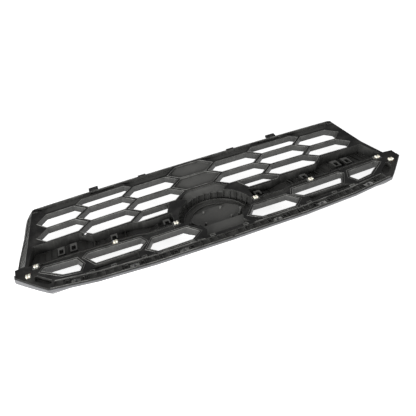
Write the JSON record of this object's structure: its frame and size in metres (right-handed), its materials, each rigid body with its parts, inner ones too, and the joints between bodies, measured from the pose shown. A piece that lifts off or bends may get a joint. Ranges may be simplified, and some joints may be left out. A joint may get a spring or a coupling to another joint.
{
  "type": "front grille",
  "caption": "Car front grille laid face down: hexagon mesh moulding with wing bar, badge seat, front trims, nylon spring clips and steel push retainers.",
  "frame": {"origin": "centre of the bounding box at its lowest face, the side the grille lies on", "axes": "+X towards one end of the grille, along its length; +Y towards its upper edge as fitted; +Z towards the rear of the grille, which is face down"},
  "size_m": [0.9506, 0.3098, 0.0692],
  "materials": {
    "badge_base": "gloss black",
    "badge_bezel": "bright satin plating",
    "grille_body": "fine-grained black moulding",
    "lower_garnish": "satin silver-grey finish on plastic",
    "wing_garnish": "gloss black",
    "top_clip": "blackened spring steel",
    "push_retainer": "bare spring steel",
    "spring_clip": "natural nylon"
  },
  "bodies": {
    "root": {"badge_base": "badge_base", "badge_bezel": "badge_bezel", "grille_body": "grille_body", "lower_garnish": "lower_garnish", "push_retainer_inner_left": "push_retainer", "push_retainer_inner_right": "push_retainer", "push_retainer_middle_left": "push_retainer", "push_retainer_middle_right": "push_retainer", "push_retainer_outer_left": "push_retainer", "push_retainer_outer_right": "push_retainer", "spring_clip_corner_left": "spring_clip", "spring_clip_corner_right": "spring_clip", "spring_clip_inner_left": "spring_clip", "spring_clip_inner_right": "spring_clip", "spring_clip_middle_left": "spring_clip", "spring_clip_middle_right": "spring_clip", "spring_clip_outer_left": "spring_clip", "spring_clip_outer_right": "spring_clip", "top_clip_left": "top_clip", "top_clip_right": "top_clip", "wing_garnish_left": "wing_garnish", "wing_garnish_right": "wing_garnish"}
  },
  "joints": []
}
